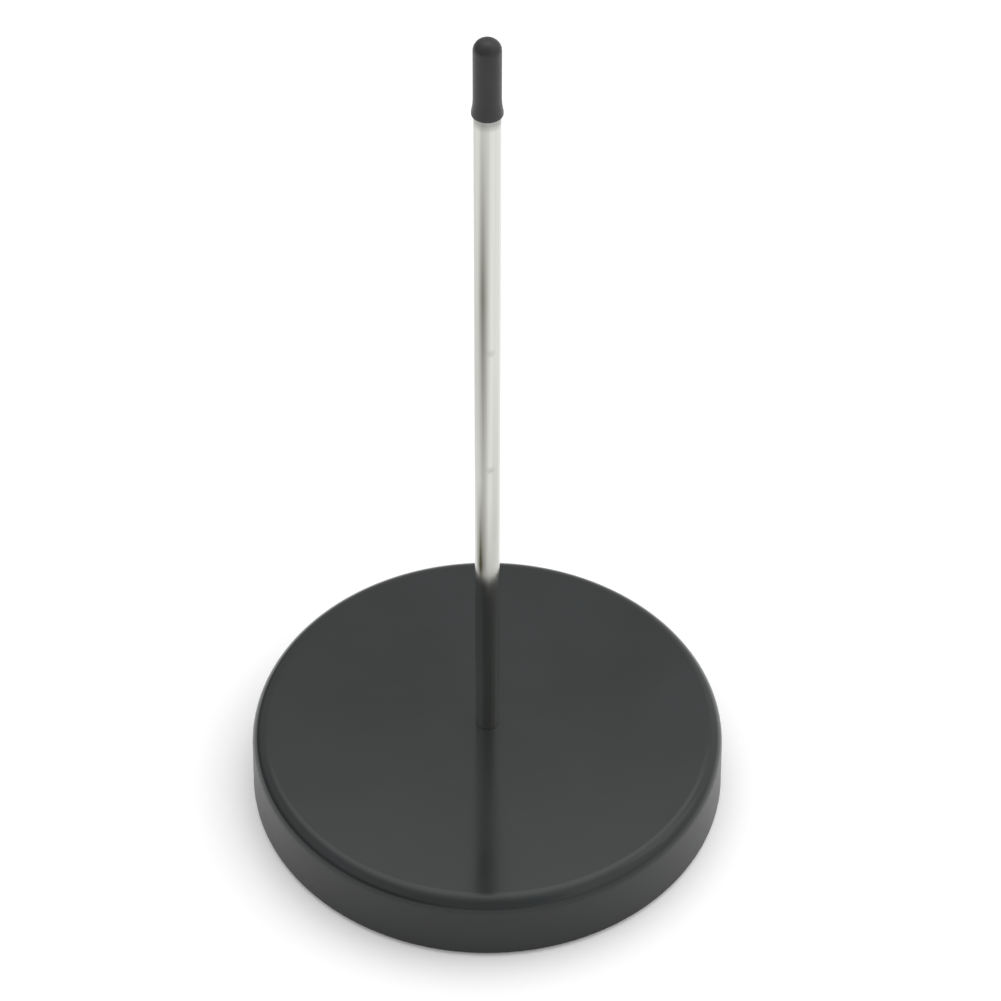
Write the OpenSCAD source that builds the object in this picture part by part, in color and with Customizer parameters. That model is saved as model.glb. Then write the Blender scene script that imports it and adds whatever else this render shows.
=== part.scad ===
// Bill spike: a weighted round base that carries an upright steel spike with a soft cap on its point.
// Millimetres. Z is up, the axis of the spike is the Z axis, and z = 0 is the desk under the foot pad.

/* [Base cover] */
// Diameter of the cover at its foot
base_d = 80; // [60:1:120]
// Height of the cover, foot to top face
base_h = 12; // [11:0.5:20]
// Draft of the cover's wall, in degrees
base_draft = 2; // [0.5:0.5:5]
// Radius of the rounded top edge
edge_r = 2.6; // [0.6:0.1:4]
// Thickness of the cover's wall
cover_wall = 2.2; // [1.5:0.1:4]
// Thickness of the cover's top
cover_top = 2.4; // [1.5:0.1:4]
// Chamfer round the cover's foot
foot_chamfer = 0.4; // [0.1:0.1:1]
// Diameter of the boss under the spike
boss_d = 12; // [8:0.5:20]
// Number of ribs between the boss and the wall
rib_count = 6; // [3:1:12]
// Thickness of a rib
rib_t = 1.6; // [1:0.1:3]

/* [Ballast] */
// Thickness of iron left above the nut pocket
ballast_web = 1.7; // [1:0.1:3]
// Gap between the ballast and the cover's wall
ballast_gap = 0.5; // [0.2:0.1:2]
// Chamfer on the ballast's rims
ballast_chamfer = 0.6; // [0.2:0.1:1.5]
// Diameter of the pocket that takes the nut and a nut driver
pocket_d = 12; // [8:0.5:20]
// Gap between the threaded end and the foot pad
pocket_gap = 0.1; // [0.1:0.1:1]

/* [Spike] */
// Diameter of the spike
spike_d = 4; // [3.6:0.1:6]
// Length of the straight spike, from the cover to the point
spike_len = 125; // [80:1:200]
// Length of the tapered point
point_len = 10.2; // [8:0.1:20]
// Radius of the very tip
tip_r = 0.25; // [0.1:0.05:0.6]
// Diameter of the threaded stem below the shoulder
stem_d = 3; // [2.5:0.1:3.4]
// Length of thread that shows past the nut
stem_proud = 0.5; // [0.2:0.1:1.5]
// Chamfer on the end of the stem
stem_chamfer = 0.3; // [0.1:0.05:0.6]
// Radial clearance round the stem in the cover, the ballast and the washers
stem_clear = 0.1; // [0.05:0.01:0.3]

/* [Fasteners] */
// Outside diameter of the flat washer
washer_d = 7; // [6:0.5:10]
// Thickness of the flat washer
washer_t = 0.5; // [0.3:0.1:1]
// Outside diameter of the spring washer
spring_d = 6.2; // [5.5:0.1:8]
// Thickness of the spring washer
spring_t = 0.8; // [0.5:0.1:1.2]
// Width of the split in the spring washer
split_w = 0.7; // [0.3:0.1:1.2]
// Slant of the split, in degrees
split_slant = 25; // [0:1:40]
// Width of the nut across its flats
nut_af = 5.5; // [5:0.1:8]
// Height of the nut
nut_h = 2.4; // [1.6:0.1:4]
// Chamfer on the nut's corners
nut_chamfer = 0.3; // [0.1:0.05:0.5]
// Radial clearance of the nut on the thread
nut_clear = 0.05; // [0.02:0.01:0.1]

/* [Foot pad] */
// Thickness of the foot pad
pad_t = 2; // [1.4:0.1:3.5]
// How far the pad stands below the cover's foot
pad_proud = 0.6; // [0.2:0.1:1.2]
// Gap between the pad and the cover's wall
pad_gap = 0.4; // [0.2:0.1:2]
// Radius of the pad's lower edge
pad_edge_r = 0.5; // [0.1:0.1:1]

/* [Tip cap] */
// How far the cap's body stands out past the spike's own radius
cap_over = 0.05; // [0:0.01:0.6]
// Thickness of the cap's lip where it is stretched over the spike
lip_t = 0.25; // [0.2:0.01:0.8]
// Height of the lip
lip_h = 0.5; // [0.3:0.05:1]
// Radius of the lip's lower edge
lip_r = 0.15; // [0.05:0.01:0.2]
// Length of the flare from the lip to the straight body
flare_len = 2.2; // [1:0.1:5]
// Thickness of the cap past the tip of the spike
cap_end = 2.1; // [1:0.1:5]
// Radius of the cap's domed end
dome_r = 1.75; // [0.5:0.05:1.8]
// Clearance between the cap and the point
cap_clear = 0.05; // [0.02:0.01:0.1]

/* [Hidden] */
$fn = 128;

// How far one solid runs into the next where they are joined or cut
lap = 0.2;

// Levels, from the desk upwards
foot_z = pad_proud;
top_z = foot_z + base_h;
ceiling_z = top_z - cover_top;
stem_end_z = pad_t + pocket_gap;
nut_z = stem_end_z + stem_proud;
spring_z = nut_z + nut_h;
washer_z = spring_z + spring_t;
web_z = washer_z + washer_t;
seat_z = web_z + ballast_web;
point_z = top_z + spike_len;
tip_z = point_z + point_len;

// Radii of the cover's wall at height z
function wall_out(z) = base_d / 2 - (z - foot_z) * tan(base_draft);
function wall_in(z) = wall_out(z) - cover_wall;

// Centre of the round that makes the cover's top edge, tangent to the drafted wall
edge_z = top_z - edge_r;
edge_x = wall_out(edge_z) - edge_r / cos(base_draft);

// Round tip and straight flank of the point
spike_r = spike_d / 2;
stem_r = stem_d / 2;
tip_centre_z = tip_z - tip_r;
tip_rise = tip_centre_z - point_z;
flank = atan2(spike_r, tip_rise) - asin(tip_r / norm([spike_r, tip_rise]));

// The cap starts where the point does
mouth_r = spike_r + cap_clear / cos(flank);
lip_out = mouth_r + lip_t;
cap_r = spike_r + cap_over;
flare_z = point_z + lip_h + flare_len;
cap_top_z = tip_z + cap_clear + cap_end;
flare_rise = lip_out - cap_r;
flare_r = (flare_len * flare_len + flare_rise * flare_rise) / (2 * flare_rise);

// Flat ring, from z upwards
module ring(r_out, r_in, z, h) {
    translate([0, 0, z]) difference() {
        cylinder(r = r_out, h = h);
        translate([0, 0, -lap]) cylinder(r = r_in, h = h + 2 * lap);
    }
}

// Quarter of a disc in the upper right quadrant, with its centre at [x, z]
module quarter_disc(r, x, z) {
    translate([x, z]) intersection() {
        circle(r);
        square(2 * r);
    }
}

// Half outline of the point, grown outwards all round
module point_outline(grow) {
    nose = tip_r + grow;
    polygon([
        [0, point_z],
        [spike_r + grow / cos(flank), point_z],
        [nose * cos(flank), tip_centre_z + nose * sin(flank)],
        [0, tip_centre_z]
    ]);
    quarter_disc(nose, 0, tip_centre_z);
}

// Half outline of the cover's outside, filled to the axis
module cover_outline() {
    polygon([
        [0, foot_z],
        [wall_out(foot_z) - foot_chamfer, foot_z],
        [wall_out(foot_z + foot_chamfer), foot_z + foot_chamfer],
        [edge_x + edge_r * cos(base_draft), edge_z + edge_r * sin(base_draft)],
        [edge_x, edge_z],
        [edge_x, top_z],
        [0, top_z]
    ]);
    translate([edge_x, edge_z]) circle(edge_r);
}

// Half outline of the hollow under the cover
module hollow_outline() {
    polygon([
        [0, foot_z - lap],
        [wall_in(foot_z - lap), foot_z - lap],
        [wall_in(ceiling_z), ceiling_z],
        [0, ceiling_z]
    ]);
}

// Ribs and boss that stand the cover on the ballast
module cover_ribs() {
    rib_h = ceiling_z - seat_z + lap;
    translate([0, 0, seat_z]) {
        cylinder(d = boss_d, h = rib_h);
        for (i = [0 : rib_count - 1])
            rotate(i * 360 / rib_count)
                translate([0, -rib_t / 2, 0])
                    cube([wall_in(seat_z) + lap, rib_t, rib_h]);
    }
}

// Moulded shell that hides the ballast and makes the base
module base_cover() {
    color([0.13, 0.135, 0.135]) difference() {
        union() {
            difference() {
                rotate_extrude() cover_outline();
                rotate_extrude() hollow_outline();
            }
            cover_ribs();
        }
        translate([0, 0, foot_z]) cylinder(r = stem_r + stem_clear, h = base_h + lap);
    }
}

// Iron weight with a pocket for the nut
module ballast_disc() {
    r = wall_in(seat_z) - ballast_gap;
    c = ballast_chamfer;
    color([0.33, 0.34, 0.35]) difference() {
        rotate_extrude() polygon([
            [0, pad_t],
            [r - c, pad_t],
            [r, pad_t + c],
            [r, seat_z - c],
            [r - c, seat_z],
            [0, seat_z]
        ]);
        translate([0, 0, pad_t - lap]) cylinder(d = pocket_d, h = web_z - pad_t + lap);
        translate([0, 0, pad_t]) cylinder(r = stem_r + stem_clear, h = seat_z - pad_t + lap);
    }
}

// Polished rod with a tapered point, and a shoulder above a threaded stem
module spike() {
    color([0.78, 0.78, 0.76]) rotate_extrude() {
        polygon([
            [0, stem_end_z],
            [stem_r - stem_chamfer, stem_end_z],
            [stem_r, stem_end_z + stem_chamfer],
            [stem_r, top_z],
            [spike_r, top_z],
            [spike_r, point_z],
            [0, point_z]
        ]);
        point_outline(0);
    }
}

module flat_washer() {
    color([0.70, 0.71, 0.70]) ring(washer_d / 2, stem_r + stem_clear, washer_z, washer_t);
}

// Ring with a slanted split
module spring_washer() {
    color([0.45, 0.46, 0.47]) difference() {
        ring(spring_d / 2, stem_r + stem_clear, spring_z, spring_t);
        translate([0, 0, spring_z + spring_t / 2])
            rotate([split_slant, 0, 0])
                translate([0, -split_w / 2, -spring_t])
                    cube([spring_d, split_w, 2 * spring_t]);
    }
}

// Hexagon nut with its corners turned off at both ends
module hex_nut() {
    corner_r = nut_af / 2 / cos(30);
    color([0.70, 0.71, 0.70]) translate([0, 0, nut_z]) difference() {
        intersection() {
            cylinder(r = corner_r, h = nut_h, $fn = 6);
            rotate_extrude() polygon([
                [0, 0],
                [corner_r - nut_chamfer, 0],
                [corner_r, nut_chamfer / 2],
                [corner_r, nut_h - nut_chamfer / 2],
                [corner_r - nut_chamfer, nut_h],
                [0, nut_h]
            ]);
        }
        translate([0, 0, -lap]) cylinder(r = stem_r + nut_clear, h = nut_h + 2 * lap);
    }
}

// Soft disc stuck under the ballast, which the base stands on
module foot_pad() {
    r = wall_in(pad_t) - pad_gap;
    color([0.16, 0.16, 0.165]) rotate_extrude() {
        polygon([
            [0, 0],
            [r - pad_edge_r, 0],
            [r - pad_edge_r, pad_edge_r],
            [r, pad_edge_r],
            [r, pad_t],
            [0, pad_t]
        ]);
        intersection() {
            translate([r - pad_edge_r, pad_edge_r]) circle(pad_edge_r);
            translate([r - pad_edge_r, 0]) square(pad_edge_r);
        }
    }
}

// Half outline of the cap's outside, filled to the axis: lip, flare, body and dome
module cap_outline() {
    translate([0, point_z + lip_r]) square([lip_out, lip_h - lip_r]);
    translate([0, point_z]) square([lip_out - lip_r, lip_h]);
    translate([lip_out - lip_r, point_z + lip_r]) circle(lip_r);
    difference() {
        translate([0, point_z + lip_h]) square([lip_out, flare_len]);
        translate([cap_r + flare_r, flare_z]) circle(flare_r);
    }
    translate([0, flare_z]) square([cap_r, cap_top_z - dome_r - flare_z]);
    translate([0, flare_z]) square([cap_r - dome_r, cap_top_z - flare_z]);
    quarter_disc(dome_r, cap_r - dome_r, cap_top_z - dome_r);
}

// Soft cap that is pulled off upwards
module tip_cap() {
    color([0.14, 0.14, 0.145]) difference() {
        rotate_extrude() cap_outline();
        rotate_extrude() {
            translate([0, point_z - lap]) square([mouth_r, lap]);
            point_outline(cap_clear);
        }
    }
}

base_cover();
ballast_disc();
spike();
flat_washer();
spring_washer();
hex_nut();
foot_pad();
tip_cap();
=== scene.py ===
# %% [markdown]
# # Dressing a bill spike
# A bill spike is a desk tool: a heavy round base, a steel spike that paper slips are pushed onto,
# and a soft cap that guards the point. The solids are already made and packed, at their real
# size. This file gives each of them its final surface and finish, and sets up a small white
# studio round them.
# It is a lesson in cells. Each step says what a piece is on the real thing, how it could be made
# in Blender, and why this way was chosen.

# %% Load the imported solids
import math

import bmesh
import bpy
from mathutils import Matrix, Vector


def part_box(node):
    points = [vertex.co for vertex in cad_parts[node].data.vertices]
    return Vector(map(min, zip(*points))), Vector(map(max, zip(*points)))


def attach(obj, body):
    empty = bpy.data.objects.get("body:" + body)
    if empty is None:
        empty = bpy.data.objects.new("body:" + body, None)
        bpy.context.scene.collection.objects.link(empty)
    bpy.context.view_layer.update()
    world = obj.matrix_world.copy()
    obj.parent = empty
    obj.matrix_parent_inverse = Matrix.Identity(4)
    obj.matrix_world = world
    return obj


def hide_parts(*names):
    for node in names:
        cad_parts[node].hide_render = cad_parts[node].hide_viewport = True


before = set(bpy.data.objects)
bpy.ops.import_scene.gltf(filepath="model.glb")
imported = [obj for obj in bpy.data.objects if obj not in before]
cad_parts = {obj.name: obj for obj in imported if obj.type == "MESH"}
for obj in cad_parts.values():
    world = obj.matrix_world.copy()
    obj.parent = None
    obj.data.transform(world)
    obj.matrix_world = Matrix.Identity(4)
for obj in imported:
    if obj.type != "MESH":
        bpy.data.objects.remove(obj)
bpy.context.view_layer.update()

print("solids:", ", ".join(sorted(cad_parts)))

# %% [markdown]
# ## Sizes
# Nearly every solid here is round about the spike's axis, which is the Z axis. So three numbers
# place a solid: how far it reaches from the axis, and its lowest and highest level. They could be
# typed in again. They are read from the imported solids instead, so that a new pack moves the
# dressed pieces with it. Blender works in metres, and small sizes are easier to read in
# millimetres, which is what MM is for.

# %% Read the places of the solids
MM = 0.001


def span(node):
    """Outside radius, lowest level and highest level of a solid that is round about the Z axis."""
    low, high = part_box(node)
    return high.y, low.z, high.z


foot_r, foot_z, top_z = span("base_cover")
ballast_r, ballast_z, seat_z = span("ballast_disc")
spike_r, stem_end_z, tip_z = span("spike")
pad_r, pad_z, pad_top_z = span("foot_pad")
lip_r, mouth_z, cap_top_z = span("tip_cap")

# %% [markdown]
# ## Writing nodes as expressions
# Both materials and Geometry Nodes are node trees. Placing a dozen Math nodes by hand hides the
# sum that they work out. So one small class, Wire, stands for a node's output, and adding or
# multiplying wires adds the Math node. A plain number may stand on either side.

# %% Wires


class Wire:
    """One output of a node. Arithmetic on wires adds Math nodes to their tree."""

    def __init__(self, graph, socket):
        self.graph = graph
        self.socket = socket

    def maths(self, operation, first, second=0.0, third=0.0):
        numbers = {0: first, 1: second, 2: third}
        return self.graph.node("ShaderNodeMath", {"operation": operation}, numbers)

    def __add__(self, other):
        return self.maths("ADD", self, other)

    def __sub__(self, other):
        return self.maths("SUBTRACT", self, other)

    def __rsub__(self, other):
        return self.maths("SUBTRACT", other, self)

    def __mul__(self, other):
        return self.maths("MULTIPLY", self, other)

    def __truediv__(self, other):
        return self.maths("DIVIDE", self, other)

    def __rtruediv__(self, other):
        return self.maths("DIVIDE", other, self)

    def __abs__(self):
        return self.maths("ABSOLUTE", self)

    __radd__ = __add__
    __rmul__ = __mul__

    def fit(self, low, high, to_low=0.0, to_high=1.0):
        """Maps low..high to to_low..to_high, and holds the ends beyond."""
        ends = {"From Min": low, "From Max": high, "To Min": to_low, "To Max": to_high}
        return self.graph.node("ShaderNodeMapRange", {}, {"Value": self, **ends})


print("sums of wires become Math nodes")

# %% [markdown]
# ## One way to make any other node
# A second class, Graph, stands for a whole tree. Its node method makes every other kind of node.
# The settings are set first, because some of them change which sockets a node has, and then each
# socket gets a number or a wire. With all of this in one place, the trees that follow can be read
# as lists of steps.

# %% Graphs


class Graph:
    """A node tree that is written as expressions."""

    def __init__(self, tree):
        self.tree = tree
        tree.nodes.clear()

    def node(self, kind, settings=None, inputs=None, out=0):
        """Makes one node: its settings come first, then the values or wires of its inputs."""
        made = self.tree.nodes.new(kind)
        for name, value in (settings or {}).items():
            if name == "stops":
                self.set_stops(made.color_ramp, value)
            else:
                setattr(made, name, value)
        for key, value in (inputs or {}).items():
            self.feed(made.inputs[key], value)
        return Wire(self, made.outputs[out]) if made.outputs else made

    def feed(self, socket, value):
        """Gives a socket its value, its wire, or a list of wires if it takes several."""
        if isinstance(value, (Wire, list)):
            for wire in value if isinstance(value, list) else [value]:
                self.tree.links.new(wire.socket, socket)
        else:
            socket.default_value = value

    def set_stops(self, ramp, stops):
        """Fills a colour ramp with (place, grey level) stops."""
        while len(ramp.elements) < len(stops):
            ramp.elements.new(1.0)
        for element, (place, level) in zip(ramp.elements, stops):
            element.position = place
            element.color = (level, level, level, 1.0)

    def parts(self, vector):
        """The three numbers of a vector."""
        first = self.node("ShaderNodeSeparateXYZ", {}, {"Vector": vector})
        return [Wire(self, output) for output in first.socket.node.outputs]

    def join(self, x, y, z):
        """A vector from three numbers."""
        return self.node("ShaderNodeCombineXYZ", {}, {"X": x, "Y": y, "Z": z})


print("a graph makes any node, settings first")

# %% [markdown]
# ## Outlines
# Turned and moulded pieces are drawn as an outline: half of the piece's section, from the axis
# outwards. Only the corners are listed, each with the radius of its rounding, and the arcs are
# worked out. A Bevel modifier would round the edges too, but all by one width. Close to each arc
# the outline gets one extra point on the straight part. Without it, smooth shading would bend the
# flat face next to a rounded edge, and a glossy flat top would mirror the room as a lens does.

# %% Corners to outline points
ARC_STEP = math.radians(7.5)
GUARD = 0.06 * MM


def arc(centre, radius, start, stop):
    """Points along a circle from one angle to another, in radians from the outward direction."""
    steps = max(2, math.ceil(abs(stop - start) / ARC_STEP))
    angles = [start + (stop - start) * i / steps for i in range(steps + 1)]
    return [centre + radius * Vector((math.cos(a), math.sin(a))) for a in angles]


def round_corner(before, corner, after, radius):
    """The arc that rounds one corner, with a guard point on the straight at each end."""
    back = (before - corner).normalized()
    ahead = (after - corner).normalized()
    half = back.angle(ahead) / 2
    reach = radius / math.tan(half)
    centre = corner + (back + ahead).normalized() * radius / math.sin(half)
    first = corner + back * reach - centre
    last = corner + ahead * reach - centre
    start = math.atan2(first.y, first.x)
    sweep = math.remainder(math.atan2(last.y, last.x) - start, math.tau)
    points = arc(centre, radius, start, start + sweep)
    return [corner + back * (reach + GUARD), *points, corner + ahead * (reach + GUARD)]


def outline(corners, closed):
    """Turns (distance from the axis, level, rounding) corners into outline points."""
    spots = [Vector(corner[:2]) for corner in corners]
    points = []
    for i, (_, _, radius) in enumerate(corners):
        inner = closed or 0 < i < len(corners) - 1
        if radius and inner:
            points += round_corner(spots[i - 1], spots[i], spots[(i + 1) % len(spots)], radius)
        else:
            points.append(spots[i])
    return points


print(f"arcs get a point at least every {math.degrees(ARC_STEP):.1f} degrees")

# %% [markdown]
# ## Trees with named inputs
# A Geometry Nodes tree can be used again like a function, if its sizes come in through named
# inputs. Opening a tree makes those inputs. Closing it makes all copies real and sets the
# material, because an export keeps only real faces that carry a material.

# %% Opening and closing a tree
SOCKETS = {"Geometry": "NodeSocketGeometry", "Int": "NodeSocketInt", "Float": "NodeSocketFloat",
           "Material": "NodeSocketMaterial"}


def open_tree(name, inputs):
    """A new Geometry Nodes tree with named inputs; gives the graph and a wire for each input."""
    tree = bpy.data.node_groups.new(name, "GeometryNodeTree")
    for title, (kind, default) in inputs.items():
        socket = tree.interface.new_socket(title, in_out="INPUT", socket_type=SOCKETS[kind])
        if default is not None:
            socket.default_value = default
    tree.interface.new_socket("Geometry", in_out="OUTPUT", socket_type=SOCKETS["Geometry"])
    graph = Graph(tree)
    entry = graph.node("NodeGroupInput").socket.node
    return graph, {title: Wire(graph, entry.outputs[title]) for title in inputs}


def close_tree(graph, geometry, material):
    """Ends a tree with real geometry that carries its material."""
    whole = graph.node("GeometryNodeRealizeInstances", {}, {"Geometry": geometry})
    dressed = graph.node("GeometryNodeSetMaterial", {}, {"Geometry": whole, "Material": material})
    graph.node("NodeGroupOutput", {}, {"Geometry": dressed})
    return graph.tree


print("kinds of input:", ", ".join(SOCKETS))

# %% [markdown]
# ## A lathe made of Geometry Nodes
# Turned pieces could be spun with the Screw modifier. A node tree is chosen because it can also
# hold a rule that a plain spin lacks, as the next step shows. Curve to Mesh sweeps the outline
# along a circle. The circle's own radius is taken off the outline again, and merging by distance
# closes the seam and the points on the axis.

# %% Spinning an outline
AXIS_R = 10 * MM
WELD = 0.5e-6


def spin(g, drawn, segments):
    """Sweeps an outline in the XZ plane once round the Z axis, and welds seam and poles."""
    curve = g.node("GeometryNodeMeshToCurve", {}, {"Mesh": drawn})
    x, _, z = g.parts(g.node("GeometryNodeInputPosition"))
    flat = {"Geometry": curve, "Position": g.join(x - AXIS_R, 0 - z, 0.0)}
    laid = g.node("GeometryNodeSetPosition", {}, flat)
    circle = {"Resolution": segments, "Radius": AXIS_R}
    ring = g.node("GeometryNodeCurvePrimitiveCircle", {}, circle)
    swept = g.node("GeometryNodeCurveToMesh", {}, {"Curve": ring, "Profile Curve": laid})
    return g.node("GeometryNodeMergeByDistance", {}, {"Geometry": swept, "Distance": WELD})


print(f"points closer than {WELD / MM:.4f} mm are welded")

# %% [markdown]
# ## A thread is a rule
# A screw thread is a turned cylinder whose radius dips once per pitch, shifted by the angle. It
# could be cut with a coiled tool and a boolean. One formula on the points of the spun mesh gives
# the same form with fewer faces, and it runs out at both ends as a cut thread does. So the stem
# and every plain round piece come from one tree, and the nut's own tree uses the formula too.

# %% The thread and the turning tree
PITCH = 0.5 * MM
CREST, ROOT = 0.12, 0.8
ON_WALL = 5e-6
SMALL_TURN = 96
THREAD = {"Thread radius": ("Float", 0.0), "Thread pitch": ("Float", PITCH),
          "Thread depth": ("Float", 0.0), "Thread from": ("Float", 0.0),
          "Thread to": ("Float", 0.0)}


def thread(g, given, spun):
    """Cuts a right-handed thread into the wall of a spun mesh that has the thread's radius."""
    x, y, z = g.parts(g.node("GeometryNodeInputPosition"))
    radius = x.maths("SQRT", x * x + y * y)
    angle = y.maths("ARCTAN2", y, x)
    pitch = given["Thread pitch"]
    turn = z.maths("FRACT", z / pitch - angle / math.tau)
    groove = (1 - abs(turn * 2 - 1)).fit(CREST, ROOT)
    run_in = z.fit(given["Thread from"], given["Thread from"] + pitch)
    run_out = z.fit(given["Thread to"] - pitch, given["Thread to"], 1.0, 0.0)
    on_wall = abs(radius - given["Thread radius"]).fit(0.0, ON_WALL, 1.0, 0.0)
    dip = given["Thread depth"] * groove * run_in * run_out * on_wall
    grow = 1 - dip / radius.maths("MAXIMUM", radius, WELD)
    cut = {"Geometry": spun, "Position": g.join(x * grow, y * grow, z)}
    return g.node("GeometryNodeSetPosition", {}, cut)


def turning_tree():
    g, given = open_tree("turned_piece", {
        "Outline": ("Geometry", None), "Segments": ("Int", SMALL_TURN), **THREAD,
        "Material": ("Material", None)})
    spun = spin(g, given["Outline"], given["Segments"])
    return close_tree(g, thread(g, given, spun), given["Material"])


turned_piece = turning_tree()
print("turning tree:", len(turned_piece.nodes), "nodes")

# %% [markdown]
# ## From tree to plain mesh
# A modifier is handy while a shape is tried out, and a burden afterwards: other programs can't
# run it. So each piece is evaluated once on its outline, and the result becomes an ordinary mesh.

# %% Growing a piece


def grow_piece(name, tree, points, closed, values):
    """Runs a tree on an outline and keeps the result as a plain mesh object."""
    drawn = bpy.data.meshes.new(name)
    count = len(points)
    edges = [(i, (i + 1) % count) for i in range(count if closed else count - 1)]
    drawn.from_pydata([(p.x, 0.0, p.y) for p in points], edges, [])
    piece = bpy.data.objects.new(name, drawn)
    bpy.context.scene.collection.objects.link(piece)
    modifier = piece.modifiers.new("grow", "NODES")
    modifier.node_group = tree
    inputs = [item for item in tree.interface.items_tree if item.in_out == "INPUT"]
    sockets = {item.name: item.identifier for item in inputs}
    for title, value in values.items():
        modifier[sockets[title]] = value
    ready = piece.evaluated_get(bpy.context.evaluated_depsgraph_get())
    piece.data = bpy.data.meshes.new_from_object(ready)
    piece.modifiers.clear()
    return piece


print("pieces become plain meshes")

# %% [markdown]
# ## Clean meshes in their places
# A mesh that leaves this file should need no mending. Doubles are merged, the faces are turned
# outwards, and edges that bend more than a set angle are marked sharp, so that flats stay flat
# and rounds stay round. Then the piece is seated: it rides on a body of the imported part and
# stands for the solid that it replaces.

# %% Settling a piece
SHARP = math.radians(32)


def tidy_mesh(mesh):
    """Merges doubles, turns the faces outwards and sets smooth shading with sharp corners."""
    work = bmesh.new()
    work.from_mesh(mesh)
    bmesh.ops.remove_doubles(work, verts=work.verts, dist=WELD)
    bmesh.ops.dissolve_degenerate(work, edges=work.edges, dist=WELD)
    bmesh.ops.recalc_face_normals(work, faces=work.faces)
    open_edges = sum(not edge.is_manifold for edge in work.edges)
    work.to_mesh(mesh)
    work.free()
    mesh.polygons.foreach_set("use_smooth", [True] * len(mesh.polygons))
    mesh.set_sharp_from_angle(angle=SHARP)
    return open_edges


def settle(piece, node, body):
    """Tidies a finished piece, seats it on its body in place of its solid, and says what it is."""
    open_edges = tidy_mesh(piece.data)
    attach(piece, body)
    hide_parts(node)
    print(f"{piece.name}: {len(piece.data.polygons)} faces, {open_edges} open edges")


print(f"edges over {math.degrees(SHARP):.0f} degrees stay sharp")

# %% [markdown]
# ## What every finish needs
# A finish starts from the Object coordinates, which are metres in the part's own frame, so a
# grain keeps its real size whatever the piece. Images would do too, but they need unwrapping and
# blur when seen close. Noise at a few scales does most of the work: broad noise for uneven gloss,
# fine noise for grain. Most of a noise lies close to its middle, so it is stretched before use.
# All of it ends in one Principled shader.

# %% Helpers for finishes
COLOUR_A, COLOUR_B, COLOUR_OUT = 6, 7, 2
MOST = (0.3, 0.7)
CORE = (0.35, 0.65)


def start_finish(name):
    """A new material: gives it with its graph and a wire for the place on the part."""
    material = bpy.data.materials.new(name)
    material.use_nodes = True
    g = Graph(material.node_tree)
    return material, g, g.node("ShaderNodeTexCoord", out="Object")


def noise(g, place, grains, detail=3.0):
    """Noise from 0 to 1. grains counts the grains in a metre, alike or for X, Y and Z."""
    stretch = (grains,) * 3 if isinstance(grains, float) else grains
    spread = g.node("ShaderNodeMapping", {}, {"Vector": place, "Scale": stretch})
    return g.node("ShaderNodeTexNoise", {}, {"Vector": spread, "Scale": 1.0, "Detail": detail})


def blend(g, factor, first, second):
    """Mixes two colours."""
    ends = {0: factor, COLOUR_A: first, COLOUR_B: second}
    return g.node("ShaderNodeMix", {"data_type": "RGBA"}, ends, out=COLOUR_OUT)


def grey(level, tint=(1.0, 1.0, 1.0)):
    """A colour from a level and a tint."""
    return (*[level * share for share in tint], 1.0)


def length(g, x, y, z):
    """The length of a vector."""
    vector = {0: g.join(x, y, z)}
    return g.node("ShaderNodeVectorMath", {"operation": "LENGTH"}, vector, out="Value")


def bumped(g, height, depth):
    """A surface normal from a height between 0 and 1 that is depth metres deep."""
    return g.node("ShaderNodeBump", {}, {"Height": height, "Distance": depth})


def end_finish(g, inputs):
    """Ends a material in one Principled shader."""
    shader = g.node("ShaderNodeBsdfPrincipled", {}, inputs)
    g.node("ShaderNodeOutputMaterial", {}, {"Surface": shader})


print("finishes are noise on real metres")

# %% [markdown]
# ## The base cover's finish
# The cover is moulded in a black plastic. Such a plastic is not plain black: its colour is a very
# dark grey that leans to green, and most of what the eye sees is the room mirrored in it. The
# half of the mould that makes the top is polished, and the ring that makes the wall is left
# satin. So the roughness follows the height: it falls from the wall to the top on the way round
# the edge. The wall's colour is also made a shade darker than the top's, which is painted shade
# for the shadowed floor that the wall mirrors. Two materials would show a line where they meet.
# A mould never gives a perfect mirror. The gloss varies in broad clouds, the skin has a faint
# ripple, and the top carries hairline scratches from wiping. All of these are kept weak, because
# the real top mirrors the spike clearly.

# %% Gloss black plastic
EDGE_R = 2.6 * MM
FULL_POLISH = 0.4 * EDGE_R
PLASTIC_TINT = (0.80, 1.03, 1.05)
PLASTIC_DARK = grey(0.0115, PLASTIC_TINT)
PLASTIC_LIGHT = grey(0.0145, PLASTIC_TINT)
PLASTIC_IOR = 1.45
WALL_PAINTED_SHADE = 0.35
WALL_ROUGH, TOP_ROUGH = 0.34, 0.11
CLOUD_GRAINS, CLOUD_ROUGH = 55.0, 0.05
RIPPLE_GRAINS, RIPPLE_SHARE = 160.0, 0.7
SKIN_GRAINS, SKIN_DEPTH = 2600.0, 0.004 * MM
WEAR_GRAINS, WEAR = 90.0, (0.5, 0.75)
SCRATCH_GRAINS, SCRATCH_ROUGH = (1800.0, 26.0, 26.0), 0.12
WIPED_WAYS, WIPED_WIDTHS = (24.0, -47.0), (0.006, 0.005)


def hairlines(g, place, degrees, width):
    """Long thin scratches that run one way, as a mask: thin bands round the noise's middle."""
    turn = (0.0, 0.0, math.radians(degrees))
    turned = g.node("ShaderNodeMapping", {}, {"Vector": place, "Rotation": turn})
    return abs(noise(g, turned, SCRATCH_GRAINS, detail=1.0) - 0.5).fit(0.0, width, 1.0, 0.0)


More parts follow.
